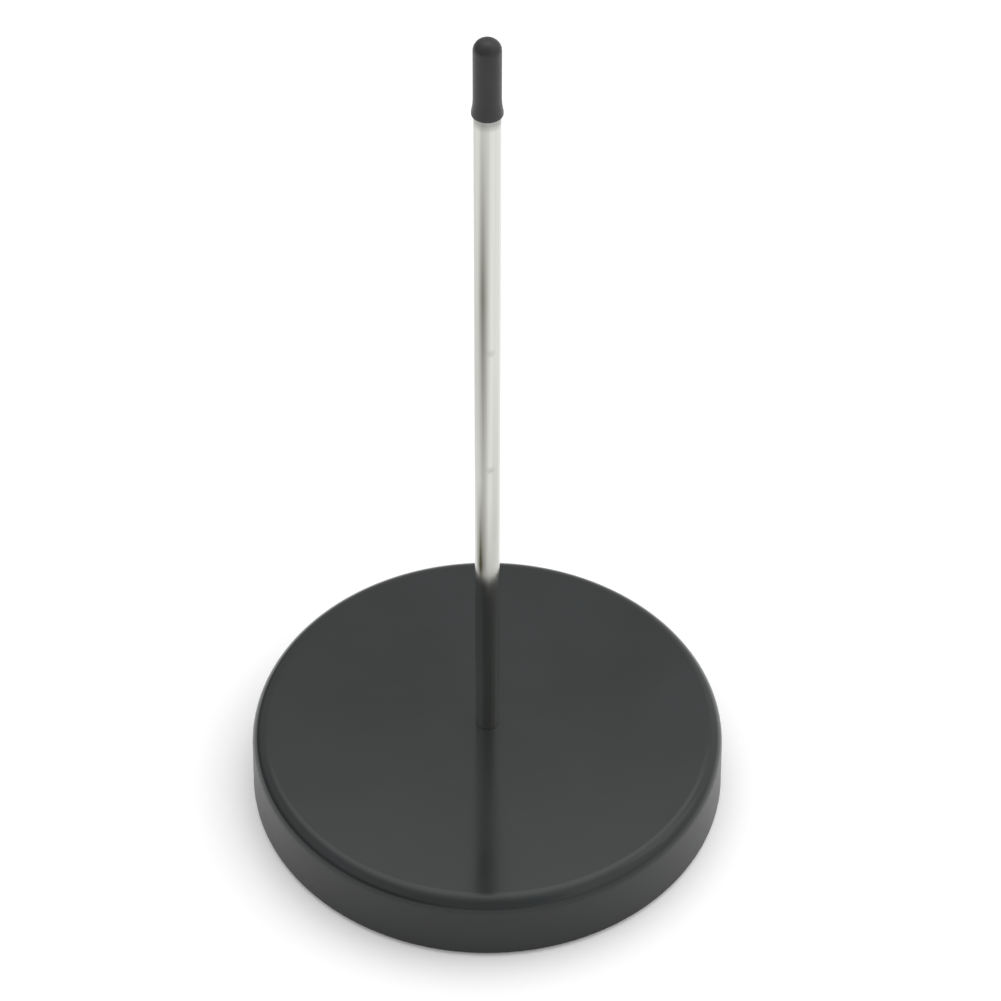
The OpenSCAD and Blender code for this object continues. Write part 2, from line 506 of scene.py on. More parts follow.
def gloss_black_plastic():
    material, g, place = start_finish("gloss_black_plastic")
    clouds = noise(g, place, CLOUD_GRAINS)
    ripple = noise(g, place, RIPPLE_GRAINS, detail=2.0)
    skin = noise(g, place, SKIN_GRAINS, detail=2.0)
    worn = noise(g, place, WEAR_GRAINS, detail=4.0).fit(*WEAR)
    polished = g.parts(place)[2].fit(top_z - EDGE_R, top_z - FULL_POLISH)
    first, second = [hairlines(g, place, *way) for way in zip(WIPED_WAYS, WIPED_WIDTHS)]
    lines = first + second
    colour = blend(g, clouds.fit(*CORE), PLASTIC_DARK, PLASTIC_LIGHT)
    # Painted shade: below the rounded edge the colour is darkened towards black.
    colour = blend(g, polished.fit(0.0, 1.0, WALL_PAINTED_SHADE, 1.0), grey(0.0), colour)
    gloss = polished.fit(0.0, 1.0, WALL_ROUGH, TOP_ROUGH)
    wear = clouds.fit(*MOST, 0.0, CLOUD_ROUGH) + lines * worn * polished * SCRATCH_ROUGH
    relief = ripple * RIPPLE_SHARE + skin * (1 - RIPPLE_SHARE)
    end_finish(g, {
        "Base Color": colour, "Roughness": gloss + wear, "IOR": PLASTIC_IOR,
        "Normal": bumped(g, relief, SKIN_DEPTH)})
    return material


plastic = gloss_black_plastic()
print("finish:", plastic.name)

# %% [markdown]
# ## The base cover
# The cover is a moulded shell. Its wall leans in by two degrees, so that it leaves the mould, its
# top edge is well rounded, and underneath it has a boss round the stem hole. A cylinder with a
# bevel would miss the lean and the inside. The whole section is drawn as one closed outline for
# the lathe, so the shell has its real thickness everywhere.

# %% Outline of the shell
DRAFT = math.tan(math.radians(2.0))
WALL = 2.2 * MM
TOP_T = 2.4 * MM
BOSS_R = 6.0 * MM
HOLE_R = 1.6 * MM
HOLE_EDGE = 0.08 * MM
FOOT_EDGE = 0.45 * MM
INNER_EDGE = 0.3 * MM
CEILING_ROOT = 0.8 * MM
BOSS_ROOT = 0.5 * MM
BOSS_EDGE = 0.2 * MM
BREAK = 0.1 * MM
ceiling_z = top_z - TOP_T


def wall_out(z):
    """Distance of the cover's outside from the axis at a level."""
    return foot_r - (z - foot_z) * DRAFT


def wall_in(z):
    """Distance of the cover's inside from the axis at a level."""
    return wall_out(z) - WALL


shell_outline = outline([
    (HOLE_R, top_z, HOLE_EDGE), (wall_out(top_z), top_z, EDGE_R), (foot_r, foot_z, FOOT_EDGE),
    (wall_in(foot_z), foot_z, INNER_EDGE), (wall_in(ceiling_z), ceiling_z, CEILING_ROOT),
    (BOSS_R, ceiling_z, BOSS_ROOT), (BOSS_R, seat_z, BOSS_EDGE), (HOLE_R, seat_z, BREAK)],
    closed=True)
print("shell outline:", len(shell_outline), "points")

# %% [markdown]
# ## The ribs under the cover
# Six ribs stand the cover on the weight inside. One rib could be modelled and copied by hand. A
# second tree makes a rule of it: it sets copies of one bar round the axis, as many as its input
# says, and unites them with the spun shell. So the cover is one closed mesh, as it is one
# moulding.

# %% Ribs and the finished cover
RIBS = 6
RIB_T = 1.6 * MM
LAP = 0.4 * MM
LARGE_TURN = 192


def ribbed_tree():
    g, given = open_tree("ribbed_cover", {
        "Outline": ("Geometry", None), "Segments": ("Int", LARGE_TURN), "Ribs": ("Int", RIBS),
        "Rib length": ("Float", 0.0), "Rib thickness": ("Float", 0.0),
        "Rib height": ("Float", 0.0), "Rib start": ("Float", 0.0), "Rib level": ("Float", 0.0),
        "Material": ("Material", None)})
    shell = spin(g, given["Outline"], given["Segments"])
    long, high = given["Rib length"], given["Rib height"]
    size = g.join(long, given["Rib thickness"], high)
    spot = g.join(given["Rib start"] + long / 2, 0.0, given["Rib level"] + high / 2)
    bar = g.node("GeometryNodeMeshCube", {}, {"Size": size})
    bar = g.node("GeometryNodeTransform", {}, {"Geometry": bar, "Translation": spot})
    points = g.node("GeometryNodePoints", {}, {"Count": given["Ribs"]})
    turn = g.join(0.0, 0.0, g.node("GeometryNodeInputIndex") * math.tau / given["Ribs"])
    copies = {"Points": points, "Instance": bar, "Rotation": turn}
    bars = g.node("GeometryNodeInstanceOnPoints", {}, copies)
    bars = g.node("GeometryNodeRealizeInstances", {}, {"Geometry": bars})
    union = {"operation": "UNION", "solver": "MANIFOLD"}
    whole = g.node("GeometryNodeMeshBoolean", union, {"Mesh 2": [shell, bars]})
    return close_tree(g, whole, given["Material"])


cover = grow_piece("cover", ribbed_tree(), shell_outline, True, {
    "Segments": LARGE_TURN, "Ribs": RIBS, "Rib length": wall_in(seat_z) - BOSS_R + 2 * LAP,
    "Rib thickness": RIB_T, "Rib height": ceiling_z - seat_z + LAP, "Rib start": BOSS_R - LAP,
    "Rib level": seat_z, "Material": plastic})
settle(cover, "base_cover", "stand")

# %% [markdown]
# ## The lines on the spike
# The spike is drawn steel rod. It was pulled through a die, which leaves lines along it, and a few
# are deep enough to look dark. Some of the dark lines near the side that faces the camera are
# painted reflections of dark surroundings, and the short dark mark low on the left is a painted
# reflection of the base's rim. The lighter lines low on the left of the foot are painted light.
# Such lines could be painted on the mesh by hand. Here each is a row of numbers: its angle in
# degrees, the levels in millimetres where it starts, peaks and ends, and its strength. A mask is
# then worked out from the distance to the line, so nothing has to be unwrapped.

# %% Lines along the rod
LINE_W = 1.05 * MM
# Die lines, some of them painted reflections of dark surroundings.
DIE_LINES_AND_PAINTED_REFLECTIONS = [(-19, 40, 106, 147, 1.0), (-31, 44, 51, 69, 1.35), (101, 26, 84, 146, 0.95),
             (-127, 34, 96, 148, 0.9), (163, 30, 62, 128, 0.85), (41, 34, 58, 96, 0.25),
             (4, 36, 50, 66, 0.33), (-64, 42, 90, 165, 0.34)]
# Painted light: lighter lines low on the left of the foot.
PAINTED_LIGHT_LINES = [(-52, -10, 24, 54, 1.1), (-27, -10, 24, 52, 0.8)]


def skin_spot(degrees):
    """Point on the spike's skin, at an angle to the right of the camera's side."""
    angle = math.radians(degrees)
    return Vector((spike_r * math.sin(angle), -spike_r * math.cos(angle), 0.0))


def streak(g, x, y, z, line):
    """A soft line along the spike, as a mask."""
    degrees, start, peak, stop, strength = line
    spot = skin_spot(degrees)
    beside = length(g, x - spot.x, y - spot.y, 0.0).fit(0.0, LINE_W, strength, 0.0)
    return beside * z.fit(start * MM, peak * MM) * z.fit(peak * MM, stop * MM, 1.0, 0.0)


# The rubbed lines counted here are painted light, and some die lines are painted reflections.
print(len(DIE_LINES_AND_PAINTED_REFLECTIONS), "die lines and", len(PAINTED_LIGHT_LINES), "rubbed lines")

# %% [markdown]
# ## The spike's finish
# The rod is polished but not plated to a mirror. Noise that is stretched along Z gives its finest
# lines, and because it reads X and Y and not an angle, it has no seam. Lines that fine also smear
# what the rod mirrors, sideways only, which is what the Anisotropic setting is for: with no
# tangent of its own, it takes the direction round the Z axis, as a rod needs. The lines of the
# last step lie over it, with their painted light and painted reflections. Two soft scuffs are
# masks by distance too, and so is a painted shadow of the cap's lip: a darker ring just below the
# cap's mouth.

# %% Polished drawn steel
FINE_GRAINS = (5200.0, 5200.0, 14.0)
BROAD_GRAINS = (1000.0, 1000.0, 6.0)
BROAD_SHARE = 0.65
STEEL_DARK = grey(0.50, (1.0, 1.0, 0.94))
STEEL_LIGHT = grey(0.69, (1.0, 1.0, 0.945))
STEEL_ROUGH, FINE_ROUGH, BROAD_ROUGH = 0.1, 0.05, 0.04
DRAWN, DRAWN_DEPTH = 0.9, 0.002 * MM
UNEVEN = (0.2, 0.6, 0.7, 0.95)
# Painted light for the lighter lines on the foot.
PAINTED_LIGHT = grey(0.92)
# Dark of the die lines and of the painted reflections.
DIE_LINE_AND_REFLECTION_DARK = grey(0.06, (1.0, 0.94, 0.5))
SCUFFS = [(15, 95.4, 0.32), (15, 71.8, 0.38)]
SCUFF_R, SCUFFED = 0.9 * MM, grey(0.2)
# Painted shadow of the cap's lip on the rod: its reach, strength and colour.
CAP_SHADOW_REACH, CAP_SHADOW_STRENGTH, CAP_SHADOW_COLOUR = 1.9 * MM, (0.45, 0.7), grey(0.16)


def polished_steel():
    material, g, place = start_finish("drawn_steel")
    fine = noise(g, place, FINE_GRAINS, detail=4.0)
    broad = noise(g, place, BROAD_GRAINS, detail=2.0)
    x, y, z = g.parts(place)
    lines = broad.fit(*MOST) * BROAD_SHARE + fine.fit(*MOST) * (1 - BROAD_SHARE)
    colour = blend(g, lines, STEEL_DARK, STEEL_LIGHT)
    uneven = broad.fit(*UNEVEN)
    # Painted light along the foot.
    for line in PAINTED_LIGHT_LINES:
        colour = blend(g, streak(g, x, y, z, line) * uneven, colour, PAINTED_LIGHT)
    # Die lines, some of them painted reflections.
    for line in DIE_LINES_AND_PAINTED_REFLECTIONS:
        colour = blend(g, streak(g, x, y, z, line) * uneven, colour, DIE_LINE_AND_REFLECTION_DARK)
    for degrees, level, strength in SCUFFS:
        spot = skin_spot(degrees)
        away = length(g, x - spot.x, y - spot.y, z - level * MM)
        colour = blend(g, away.fit(0.0, SCUFF_R, strength, 0.0), colour, SCUFFED)
    # Painted shadow of the cap's lip: a darker ring just below the cap's mouth.
    below = z.fit(mouth_z - CAP_SHADOW_REACH, mouth_z - CAP_SHADOW_REACH / 3)
    ring = below * z.fit(mouth_z, mouth_z + CAP_SHADOW_REACH, 1.0, 0.0)
    colour = blend(g, ring * fine.fit(*MOST, *CAP_SHADOW_STRENGTH), colour, CAP_SHADOW_COLOUR)
    end_finish(g, {
        "Base Color": colour, "Metallic": 1.0, "Anisotropic": DRAWN,
        "Roughness": STEEL_ROUGH + fine * FINE_ROUGH + broad * BROAD_ROUGH,
        "Normal": bumped(g, fine, DRAWN_DEPTH)})
    return material


steel = polished_steel()
print("finish:", steel.name)

# %% [markdown]
# ## The spike
# Seen from the bench, the spike is a rod with a point at one end and a threaded stem at the other.
# The point hides in the cap and the stem hides in the base, but both are made in full, because
# the cap comes off and the meshes are used by themselves too. All of it is one outline for the
# lathe. The stem gets many rows of points, for the thread to bend, and the tip is a small ball
# that the cone runs into without an edge.

# %% Rod, point and threaded stem
STEM_R = 1.5 * MM
STEM_CHAMFER = 0.3 * MM
STEM_ROOT = 0.1 * MM
NECK = 0.4 * MM
THREAD_DEPTH = 0.27 * MM
THREAD_LEN = 6.5 * MM
THREAD_ROWS = 8
ROD_EDGE = 0.12 * MM
POINT_EDGE = 1.2 * MM
TIP_R = 0.25 * MM


def cone_to_tip(radius, level, tip_centre, tip_radius):
    """Flank angle of a cone that starts at a radius and level and runs into a round tip."""
    rise = tip_centre - level
    return math.atan2(radius, rise) - math.asin(tip_radius / math.hypot(radius, rise))


point_z = mouth_z
tip_centre = tip_z - TIP_R
flank = cone_to_tip(spike_r, point_z, tip_centre, TIP_R)
cone_end = (TIP_R * math.cos(flank), tip_centre + TIP_R * math.sin(flank))
thread_z = stem_end_z + STEM_CHAMFER
row_count = round(THREAD_LEN / PITCH * THREAD_ROWS)
row_levels = [thread_z + (i + 1) * PITCH / THREAD_ROWS for i in range(row_count)]
stem_end = [(0.0, stem_end_z, 0), (STEM_R - STEM_CHAMFER, stem_end_z, 0), (STEM_R, thread_z, 0)]
spike_outline = [
    *outline(stem_end, closed=False),
    *[Vector((STEM_R, level)) for level in row_levels],
    *outline([(STEM_R, top_z - NECK, 0), (STEM_R, top_z, STEM_ROOT), (spike_r, top_z, ROD_EDGE),
              (spike_r, point_z, POINT_EDGE), (*cone_end, 0)], closed=False),
    *arc(Vector((0.0, tip_centre)), TIP_R, flank, math.pi / 2)[1:]]
spike = grow_piece("spike_rod", turned_piece, spike_outline, False, {
    "Segments": SMALL_TURN, "Thread radius": STEM_R, "Thread pitch": PITCH,
    "Thread depth": THREAD_DEPTH, "Thread from": thread_z, "Thread to": thread_z + THREAD_LEN,
    "Material": steel})
settle(spike, "spike", "stand")

# %% [markdown]
# ## The cap's finish
# The cap is dipped in soft vinyl. Its skin is satin, so it shows the room only as soft light and
# shade, and it has the slight pebbling of a dipped coat. Handling leaves patches that shine a
# little more. Two noises give both: the fine one as a bump, the broad one in tone and roughness.

# %% Dipped soft vinyl
PEBBLE_GRAINS, PEBBLE_DEPTH, PEBBLE_ROUGH = (3800.0, 3800.0, 3000.0), 0.012 * MM, 0.06
PATCH_GRAINS, PATCH_ROUGH = (420.0, 420.0, 260.0), 0.12
VINYL_DARK = grey(0.010, (0.97, 1.0, 1.04))
VINYL_LIGHT = grey(0.014, (0.97, 1.0, 1.02))
VINYL_ROUGH, VINYL_IOR = 0.28, 1.48


def soft_vinyl():
    material, g, place = start_finish("soft_vinyl")
    pebbles = noise(g, place, PEBBLE_GRAINS, detail=2.0)
    patches = noise(g, place, PATCH_GRAINS, detail=2.0)
    end_finish(g, {
        "Base Color": blend(g, patches.fit(*CORE), VINYL_DARK, VINYL_LIGHT),
        "Roughness": VINYL_ROUGH + patches * PATCH_ROUGH + pebbles * PEBBLE_ROUGH,
        "IOR": VINYL_IOR, "Normal": bumped(g, pebbles, PEBBLE_DEPTH)})
    return material


vinyl = soft_vinyl()
print("finish:", vinyl.name)

# %% [markdown]
# ## The cap
# The cap is a thin-walled tube with a domed end, which flares into a lip at its mouth. Inside it
# follows the point with a hair of room. The outline runs from the top of the bore, down to the
# mouth, round the lip, and up the outside to the middle of the dome, so the lathe closes it on
# the axis at both ends. The flare is one arc that leaves the tube without an edge.

# %% Bore, lip, flare and dome
CAP_CLEAR = 0.05 * MM
CAP_R = 2.05 * MM
LIP_H = 0.5 * MM
MOUTH_EDGE = 0.08 * MM
LIP_EDGE = 0.15 * MM
FLARE_LEN = 2.2 * MM
DOME_R = 1.75 * MM

mouth_r = spike_r + CAP_CLEAR / math.cos(flank)
flare_z = mouth_z + LIP_H + FLARE_LEN
flare_rise = lip_r - CAP_R
flare_r = (FLARE_LEN ** 2 + flare_rise ** 2) / (2 * flare_rise)
flare_sweep = math.asin(FLARE_LEN / flare_r)
bore = arc(Vector((0.0, tip_centre)), TIP_R + CAP_CLEAR, math.pi / 2, flank)
lip = outline([(*bore[-1], 0), (mouth_r, mouth_z, MOUTH_EDGE), (lip_r, mouth_z, LIP_EDGE),
               (lip_r, mouth_z + LIP_H, 0)], closed=False)[1:]
flare = arc(Vector((CAP_R + flare_r, flare_z)), flare_r, math.pi + flare_sweep, math.pi)[1:]
dome = outline([(*flare[-1], 0), (CAP_R, cap_top_z, DOME_R), (0.0, cap_top_z, 0)],
               closed=False)[1:]
cap = grow_piece("cap", turned_piece, [*bore, *lip, *flare, *dome], False, {
    "Segments": SMALL_TURN, "Material": vinyl})
settle(cap, "tip_cap", "cap")

# %% [markdown]
# ## The foot pad
# Under the base is a disc of fine sponge rubber that keeps the iron off the desk. Its skin is
# matte, with small open cells. Real holes would cost far too many faces for their size. A Voronoi
# texture gives them as round dimples of about half a millimetre, as a bump, and as darker spots
# in the dimples, which are painted shade.

# %% Sponge rubber disc
CELL_GRAINS, CELL_DEPTH, CELL_SHARE = 1900.0, 0.08 * MM, 0.6
CELL_RIM = 0.5
SPONGE_GRAINS, SPONGE_CLOUD = 240.0, 0.12
SPONGE_DARK, SPONGE_LIGHT = grey(0.018), grey(0.066)
SPONGE_ROUGH, SPONGE_IOR = 0.82, 1.45
PAD_EDGE = 0.5 * MM
PAD_TOP_EDGE = 0.15 * MM
DISC_TURN = 160


def sponge_rubber():
    material, g, place = start_finish("sponge_rubber")
    texture = {"Vector": place, "Scale": CELL_GRAINS}
    cells = g.node("ShaderNodeTexVoronoi", {"feature": "SMOOTH_F1"}, texture)
    pores = cells.fit(0.0, CELL_RIM)
    cloud = noise(g, place, SPONGE_GRAINS)
    # Painted shade: the colour darkens in the dimples of the cells.
    tone = pores * CELL_SHARE + cloud * (1 - CELL_SHARE)
    end_finish(g, {
        "Base Color": blend(g, tone, SPONGE_DARK, SPONGE_LIGHT), "IOR": SPONGE_IOR,
        "Roughness": SPONGE_ROUGH + cloud * SPONGE_CLOUD,
        "Normal": bumped(g, pores, CELL_DEPTH)})
    return material


pad_outline = outline([(0.0, pad_z, 0), (pad_r, pad_z, PAD_EDGE),
                       (pad_r, pad_top_z, PAD_TOP_EDGE), (0.0, pad_top_z, 0)], closed=False)
pad = grow_piece("pad", turned_piece, pad_outline, False, {
    "Segments": DISC_TURN, "Material": sponge_rubber()})
settle(pad, "foot_pad", "stand")

# %% [markdown]
# ## The weight's finish
# The weight is cast iron. It is grainy and dull, with a breath of rust. Three noises give sand
# grain, shallow pits and patches of rust. Rust isn't metal, so it lowers Metallic where it lies.

# %% Cast iron
SAND_GRAINS, SAND_SHARE, SAND_ROUGH = 1500.0, 0.6, 0.2
PIT_GRAINS = 420.0
RUST_GRAINS, RUST_PATCHES = 110.0, (0.58, 0.72)
RUST_COLOUR, RUST_COVER, RUST_ROUGH = (0.12, 0.055, 0.03, 1.0), 0.5, 0.15
IRON_DARK, IRON_LIGHT = grey(0.055), grey(0.13, (1.0, 1.0, 1.03))
IRON_METAL, RUST_METAL, IRON_ROUGH = 0.75, 0.6, 0.55
CAST_DEPTH = 0.12 * MM


def cast_iron():
    material, g, place = start_finish("cast_iron")
    sand = noise(g, place, SAND_GRAINS, detail=5.0)
    pits = noise(g, place, PIT_GRAINS)
    rust = noise(g, place, RUST_GRAINS, detail=5.0).fit(*RUST_PATCHES)
    colour = blend(g, sand, IRON_DARK, IRON_LIGHT)
    relief = sand * SAND_SHARE + pits * (1 - SAND_SHARE)
    end_finish(g, {
        "Base Color": blend(g, rust * RUST_COVER, colour, RUST_COLOUR),
        "Metallic": IRON_METAL - rust * RUST_METAL,
        "Roughness": IRON_ROUGH + sand * SAND_ROUGH + rust * RUST_ROUGH,
        "Normal": bumped(g, relief, CAST_DEPTH)})
    return material


iron = cast_iron()
print("finish:", iron.name)

# %% [markdown]
# ## The weight
# A disc of iron fills the cover, so that the spike stands firmly, with a pocket below for the nut.
# Nobody sees it until the pad comes off, but it is finished all the same. It is round, so it is
# one more outline for the lathe, with chamfered rims as a casting has them.

# %% Iron disc
RIM_CHAMFER = 0.6 * MM
RIM_EDGE = 0.2 * MM
POCKET_R = 6.0 * MM
POCKET_EDGE = 0.3 * MM
POCKET_ROOT = 0.4 * MM
web_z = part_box("flat_washer")[1].z

flat_r = ballast_r - RIM_CHAMFER
ballast_outline = outline([
    (HOLE_R, seat_z, BREAK), (flat_r, seat_z, RIM_EDGE),
    (ballast_r, seat_z - RIM_CHAMFER, RIM_EDGE), (ballast_r, ballast_z + RIM_CHAMFER, RIM_EDGE),
    (flat_r, ballast_z, RIM_EDGE), (POCKET_R, ballast_z, POCKET_EDGE),
    (POCKET_R, web_z, POCKET_ROOT), (HOLE_R, web_z, BREAK)], closed=True)
ballast = grow_piece("ballast", turned_piece, ballast_outline, True, {
    "Segments": DISC_TURN, "Material": iron})
settle(ballast, "ballast_disc", "stand")

# %% [markdown]
# ## Small hardware's finish
# A nut, a spring washer and a flat washer pull the spike's shoulder down on the cover. Nut and
# flat washer are zinc plated, and the spring washer is dark and oiled. All are bare metal under a
# thin uneven film, so one function makes both finishes from two tones and a roughness.

# %% Plated and oiled steel
FILM_GRAINS, FILM_ROUGH = 700.0, 0.12
PLATE_GRAINS, PLATE_ROUGH, PLATE_DEPTH = 5000.0, 0.06, 0.006 * MM


def filmed_steel(name, dark, light, roughness):
    material, g, place = start_finish(name)
    film = noise(g, place, FILM_GRAINS)
    grain = noise(g, place, PLATE_GRAINS, detail=2.0)
    end_finish(g, {
        "Base Color": blend(g, film.fit(*MOST), dark, light), "Metallic": 1.0,
        "Roughness": roughness + film * FILM_ROUGH + grain * PLATE_ROUGH,
        "Normal": bumped(g, grain, PLATE_DEPTH)})
    return material


zinc = filmed_steel("zinc_plate", grey(0.44, (0.97, 1.0, 1.04)), grey(0.58, (1.02, 1.0, 0.95)),
                    roughness=0.24)
oiled = filmed_steel("oiled_steel", grey(0.17), grey(0.27, (0.96, 1.0, 1.05)), roughness=0.3)
print("finishes:", zinc.name, "and", oiled.name)

# %% [markdown]
# ## The nut
# A nut starts as a round blank with chamfered ends and a thread that fits the stem's, and six
# flats are cut on it. A six-sided prism with a bevel would look wrong at the corners. This tree
# does what the maker does: it spins and threads the blank, and keeps what a six-sided bar shares
# with it. That leaves the curved edge between each flat and the chamfer, which a real nut has.

# %% Nut with flats and thread
NUT_CHAMFER = 0.3 * MM
NUT_CLEAR = 0.05 * MM
HEX_SIDES = 6
nut_low, nut_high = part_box("hex_nut")
nut_r = nut_high.x
nut_h = nut_high.z - nut_low.z
nut_bore = STEM_R + NUT_CLEAR
# The bar is centred on the origin, so this length reaches well past both ends of the nut.
bar_len = 4 * nut_high.z


def nut_tree():
    g, given = open_tree("cut_nut", {
        "Outline": ("Geometry", None), "Segments": ("Int", SMALL_TURN), **THREAD,
        "Corner radius": ("Float", 0.0), "Bar length": ("Float", 0.0),
        "Material": ("Material", None)})
    blank = thread(g, given, spin(g, given["Outline"], given["Segments"]))
    bar = g.node("GeometryNodeMeshCylinder", {}, {
        "Vertices": HEX_SIDES, "Radius": given["Corner radius"], "Depth": given["Bar length"]})
    shared = {"operation": "INTERSECT", "solver": "MANIFOLD"}
    cut = g.node("GeometryNodeMeshBoolean", shared, {"Mesh 2": [blank, bar]})
    return close_tree(g, cut, given["Material"])


face_r, slope = nut_r - NUT_CHAMFER, NUT_CHAMFER / 2
nut_rows = round(nut_h / PITCH * THREAD_ROWS)
nut_outline = [
    *outline([(face_r, nut_low.z, 0), (nut_r, nut_low.z + slope, 0),
              (nut_r, nut_high.z - slope, 0), (face_r, nut_high.z, 0)], closed=False),
    *[Vector((nut_bore, nut_high.z - nut_h * i / nut_rows)) for i in range(nut_rows + 1)]]
nut = grow_piece("nut", nut_tree(), nut_outline, True, {
    "Segments": SMALL_TURN, "Thread radius": nut_bore, "Thread pitch": PITCH,
    "Thread depth": THREAD_DEPTH, "Thread from": nut_low.z, "Thread to": nut_high.z,
    "Corner radius": nut_r, "Bar length": bar_len, "Material": zinc})
settle(nut, "hex_nut", "stand")

# %% [markdown]
# ## The flat washer
# A flat washer is stamped from sheet. The punch draws the rim of one face round and leaves the
# other nearly sharp. So the outline's four corners have four roundings, and the lathe does the
# rest.

# %% Flat washer
DRAWN_RIM, DRAWN_BORE = 0.16 * MM, 0.1 * MM
CUT_RIM, CUT_BORE = 0.05 * MM, 0.04 * MM
washer_r, washer_z, washer_top_z = span("flat_washer")
washer_outline = outline([
    (HOLE_R, washer_z, CUT_BORE), (washer_r, washer_z, CUT_RIM),
    (washer_r, washer_top_z, DRAWN_RIM), (HOLE_R, washer_top_z, DRAWN_BORE)], closed=True)
washer = grow_piece("washer", turned_piece, washer_outline, True, {
    "Segments": SMALL_TURN, "Material": zinc})
settle(washer, "flat_washer", "stand")

# %% [markdown]
# ## The spring washer
# This one isn't round: it is a bar bent into a ring, with a slanted split. A full ring could be
# cut with a tilted box. It is swept instead, as a row of sections round the axis, which keeps its
# faces in even rows. Each point of a section is turned by an amount that follows its height, and
# that slants both end faces at once.

# %% Split ring
SPLIT_W = 0.7 * MM
SLANT = math.radians(25.0)
SECTIONS = 90
BAR_EDGE = 0.1 * MM
spring_r, spring_z, spring_top_z = span("spring_washer")


def split_ring(name, section, middle_z):
    """Sweeps a closed section from one side of a slanted split round to the other."""
    work = bmesh.new()
    rings = []
    for i in range(SECTIONS + 1):
        ring = []
        for p in section:
            opening = SPLIT_W / 2 / math.cos(SLANT) / p.x
            lean = -(p.y - middle_z) * math.tan(SLANT) / p.x
            angle = opening + (math.tau - 2 * opening) * i / SECTIONS + lean
            ring.append(work.verts.new((p.x * math.cos(angle), p.x * math.sin(angle), p.y)))
        rings.append(ring)
    for first, second in zip(rings, rings[1:]):
        for i in range(len(section)):
            work.faces.new((first[i - 1], first[i], second[i], second[i - 1]))
    work.faces.new(rings[0])
    work.faces.new(rings[-1])
    mesh = bpy.data.meshes.new(name)
    work.to_mesh(mesh)
    work.free()
    piece = bpy.data.objects.new(name, mesh)
    bpy.context.scene.collection.objects.link(piece)
    return piece


bar_section = outline([
    (HOLE_R, spring_z, BAR_EDGE), (spring_r, spring_z, BAR_EDGE),
    (spring_r, spring_top_z, BAR_EDGE), (HOLE_R, spring_top_z, BAR_EDGE)], closed=True)
spring = split_ring("lock_ring", bar_section, (spring_z + spring_top_z) / 2)
spring.data.materials.append(oiled)
settle(spring, "spring_washer", "stand")

# %% [markdown]
# ## The camera
# The picture was taken from above, with the base low in the frame. The camera was fitted to the
# outlines of the base, the spike and the cap. It stands in the plane of the spike, so the spike is
# upright in the picture, and a small sideways shift puts the spike where it is, a little left of
# the middle. Turning the camera instead would tilt the spike.

# %% Camera
IMAGE = 1001
SPIKE_COLUMN = 487.3
CAMERA_PLACE = (0.0, -332.1 * MM, 376.4 * MM)
CAMERA_DOWN = 43.28
LENS, SENSOR = 104.7, 36.0
NEAREST = 0.01

camera_data = bpy.data.cameras.new("camera")
camera_data.lens = LENS
camera_data.sensor_width = SENSOR
camera_data.shift_x = (IMAGE / 2 - SPIKE_COLUMN) / IMAGE
camera_data.clip_start = NEAREST
camera = bpy.data.objects.new("camera", camera_data)
camera.location = CAMERA_PLACE
camera.rotation_euler = (math.radians(90.0 - CAMERA_DOWN), 0.0, 0.0)
bpy.context.scene.collection.objects.link(camera)
bpy.context.scene.camera = camera
print(f"camera {camera.location.length / MM:.0f} mm from the foot, {CAMERA_DOWN} degrees down")

# %% [markdown]
# ## The floor
# A white sweep is the plainest floor. A diffuse white alone renders as a pale grey, since it only
# returns the light that falls on it. More light would bleach the object too. So the floor adds a
# little of its own white for what the eye sees of it, straight or in a mirror. The shadow of the
# object stays, because the diffuse part still carries it.

# %% White floor
FLOOR_R = 9.0
FLOOR_WHITE = 0.97
FLOOR_GLOW = 0.08
STAGE_TURN = 96
SEEN_BY = ["Is Camera Ray", "Is Glossy Ray", "Is Transmission Ray"]


def white_floor():
    material, g, _ = start_finish("white_floor")
    camera_ray, glossy_ray, clear_ray = [g.node("ShaderNodeLightPath", out=ray) for ray in SEEN_BY]
    seen = camera_ray + glossy_ray + clear_ray
    shown = blend(g, seen.maths("MINIMUM", seen, 1.0), grey(0.0), grey(FLOOR_GLOW))
    matt = g.node("ShaderNodeBsdfDiffuse", {}, {"Color": grey(FLOOR_WHITE)})
    glow = g.node("ShaderNodeEmission", {}, {"Color": shown})
    both = g.node("ShaderNodeAddShader", {}, {0: matt, 1: glow})
    g.node("ShaderNodeOutputMaterial", {}, {"Surface": both})
    return material


def stage_piece(name, work, material):
    """Makes a piece of the studio, which is not part of the object."""
    mesh = bpy.data.meshes.new(name)
    work.to_mesh(mesh)
    work.free()
    mesh.materials.append(material)
    piece = bpy.data.objects.new(name, mesh)
    bpy.context.scene.collection.objects.link(piece)
    return piece


disc = bmesh.new()
bmesh.ops.create_circle(disc, cap_ends=True, radius=FLOOR_R, segments=STAGE_TURN)
stage_piece("floor", disc, white_floor())
print("floor:", 2 * FLOOR_R, "m across")

# %% [markdown]
# ## The light tent
# Glossy black shows nothing but its surroundings, so the light is planned as a picture that the
# base mirrors. A few lamps would show in it as spots. A tent of white cloth goes over the table
# instead. It is brightest high at the back and softer low at the back, and it is brighter on the
# right than on the left, most of all low down. In front it has a dim opening, as a real tent has
# for the lens. The opening draws the dark line along the rounded front edge and down the foot of
# the spike. A ramp of greys along the arc from back to front gives the first two, the distance to
# the side gives the third, and the distance from the opening's middle gives the last. The tent is
# a dome that the camera looks through, and all its places are shares of its radius.

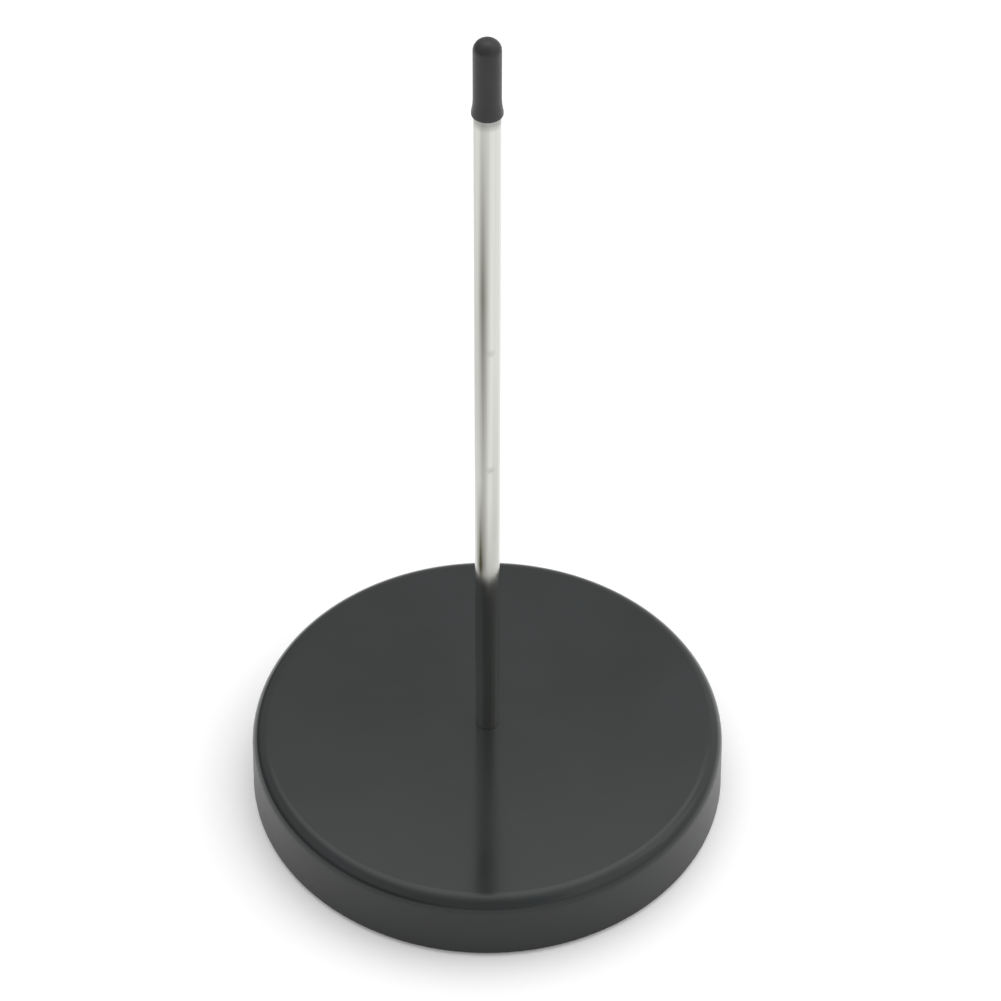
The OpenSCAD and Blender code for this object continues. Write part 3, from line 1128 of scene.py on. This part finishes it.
# %% Light tent
TENT_R = 3.0
TENT_ARC = [(0, 0.7), (40, 0.88), (45, 0.92), (47, 0.97), (49, 1.2), (52, 1.6), (57, 2.05),
            (74, 2.05), (84, 1.8), (92, 1.5), (104, 1.12), (118, 0.92), (140, 0.72), (180, 0.58)]
STRIP, STRIP_LEVEL = (-0.45, 0.45), (0.84, 1.12)
MIDDLE = (-0.1, 0.1)
SIDE_LOW, SIDE_HIGH = (0.32, 0.9), (0.85, 1.2)
SIDE_RISE = (0.2, 0.5)
SIDE_EDGE = (0.25, 0.55)
OPENING_UP = math.radians(37.0)
OPENING_EDGE = (0.31, 0.58)
OPENING_LEVEL = 0.68
BELOW_FLOOR = -1e-4


def between(share, first, second):
    """A level that goes from the first to the second as the share goes from 0 to 1."""
    return first + (second - first) * share


def tent_cloth():
    material, g, place = start_finish("tent_cloth")
    x, y, z = [part / TENT_R for part in g.parts(place)]
    over = z.maths("ARCTAN2", z, y) / math.pi
    stops = [(degrees / 180, level) for degrees, level in TENT_ARC]
    arch = g.node("ShaderNodeValToRGB", {"stops": stops}, {"Fac": over})
    strip = arch * x.fit(*STRIP, *STRIP_LEVEL)
    side = between(z.fit(*SIDE_RISE), x.fit(*MIDDLE, *SIDE_LOW), x.fit(*MIDDLE, *SIDE_HIGH))
    cloth = between(abs(x).fit(*SIDE_EDGE), strip, side)
    away = length(g, x, y + math.cos(OPENING_UP), z - math.sin(OPENING_UP))
    level = between(away.fit(*OPENING_EDGE, 1.0, 0.0), cloth, OPENING_LEVEL)
    glow = g.node("ShaderNodeEmission", {}, {"Color": level})
    g.node("ShaderNodeOutputMaterial", {}, {"Surface": glow})
    material.cycles.emission_sampling = "NONE"
    return material


ball = bmesh.new()
bmesh.ops.create_uvsphere(
    ball, u_segments=STAGE_TURN, v_segments=STAGE_TURN // 2, radius=TENT_R)
below = [vert for vert in ball.verts if vert.co.z < BELOW_FLOOR]
bmesh.ops.delete(ball, geom=below, context="VERTS")
tent = stage_piece("tent", ball, tent_cloth())
tent.visible_camera = False
print("tent:", 2 * TENT_R, "m across,", len(tent.data.polygons), "faces")

# %% [markdown]
# ## The key light
# One small soft lamp stands on the right and lights that side of the rim. It is weak next to the
# tent, so it adds a clear edge and hardly any shadow. An area lamp is used because its size sets
# how soft that edge is.

# %% Key light
KEY_PLACE = (0.63, 0.11, 0.71)
KEY_SIZE = 0.42
KEY_POWER = 0.28

key = bpy.data.objects.new("key", bpy.data.lights.new("key", "AREA"))
key.data.size = KEY_SIZE
key.data.energy = KEY_POWER
key.location = KEY_PLACE
key.rotation_euler = (-Vector(KEY_PLACE)).to_track_quat("-Z", "Y").to_euler()
key.visible_camera = False
bpy.context.scene.collection.objects.link(key)
print("key light:", KEY_POWER, "W,", KEY_SIZE, "m wide")

# %% [markdown]
# ## The background
# Beyond the floor is plain white, which a world colour gives with no backdrop to place. Only the
# camera sees it, because the tent stands in the way of all other rays. The Standard view shows
# colours as they are written.

# %% Background
world = bpy.data.worlds.new("white")
world.use_nodes = True
world.node_tree.nodes["Background"].inputs["Color"].default_value = grey(1.0)
bpy.context.scene.world = world
bpy.context.scene.view_settings.view_transform = "Standard"
print("background:", world.name)
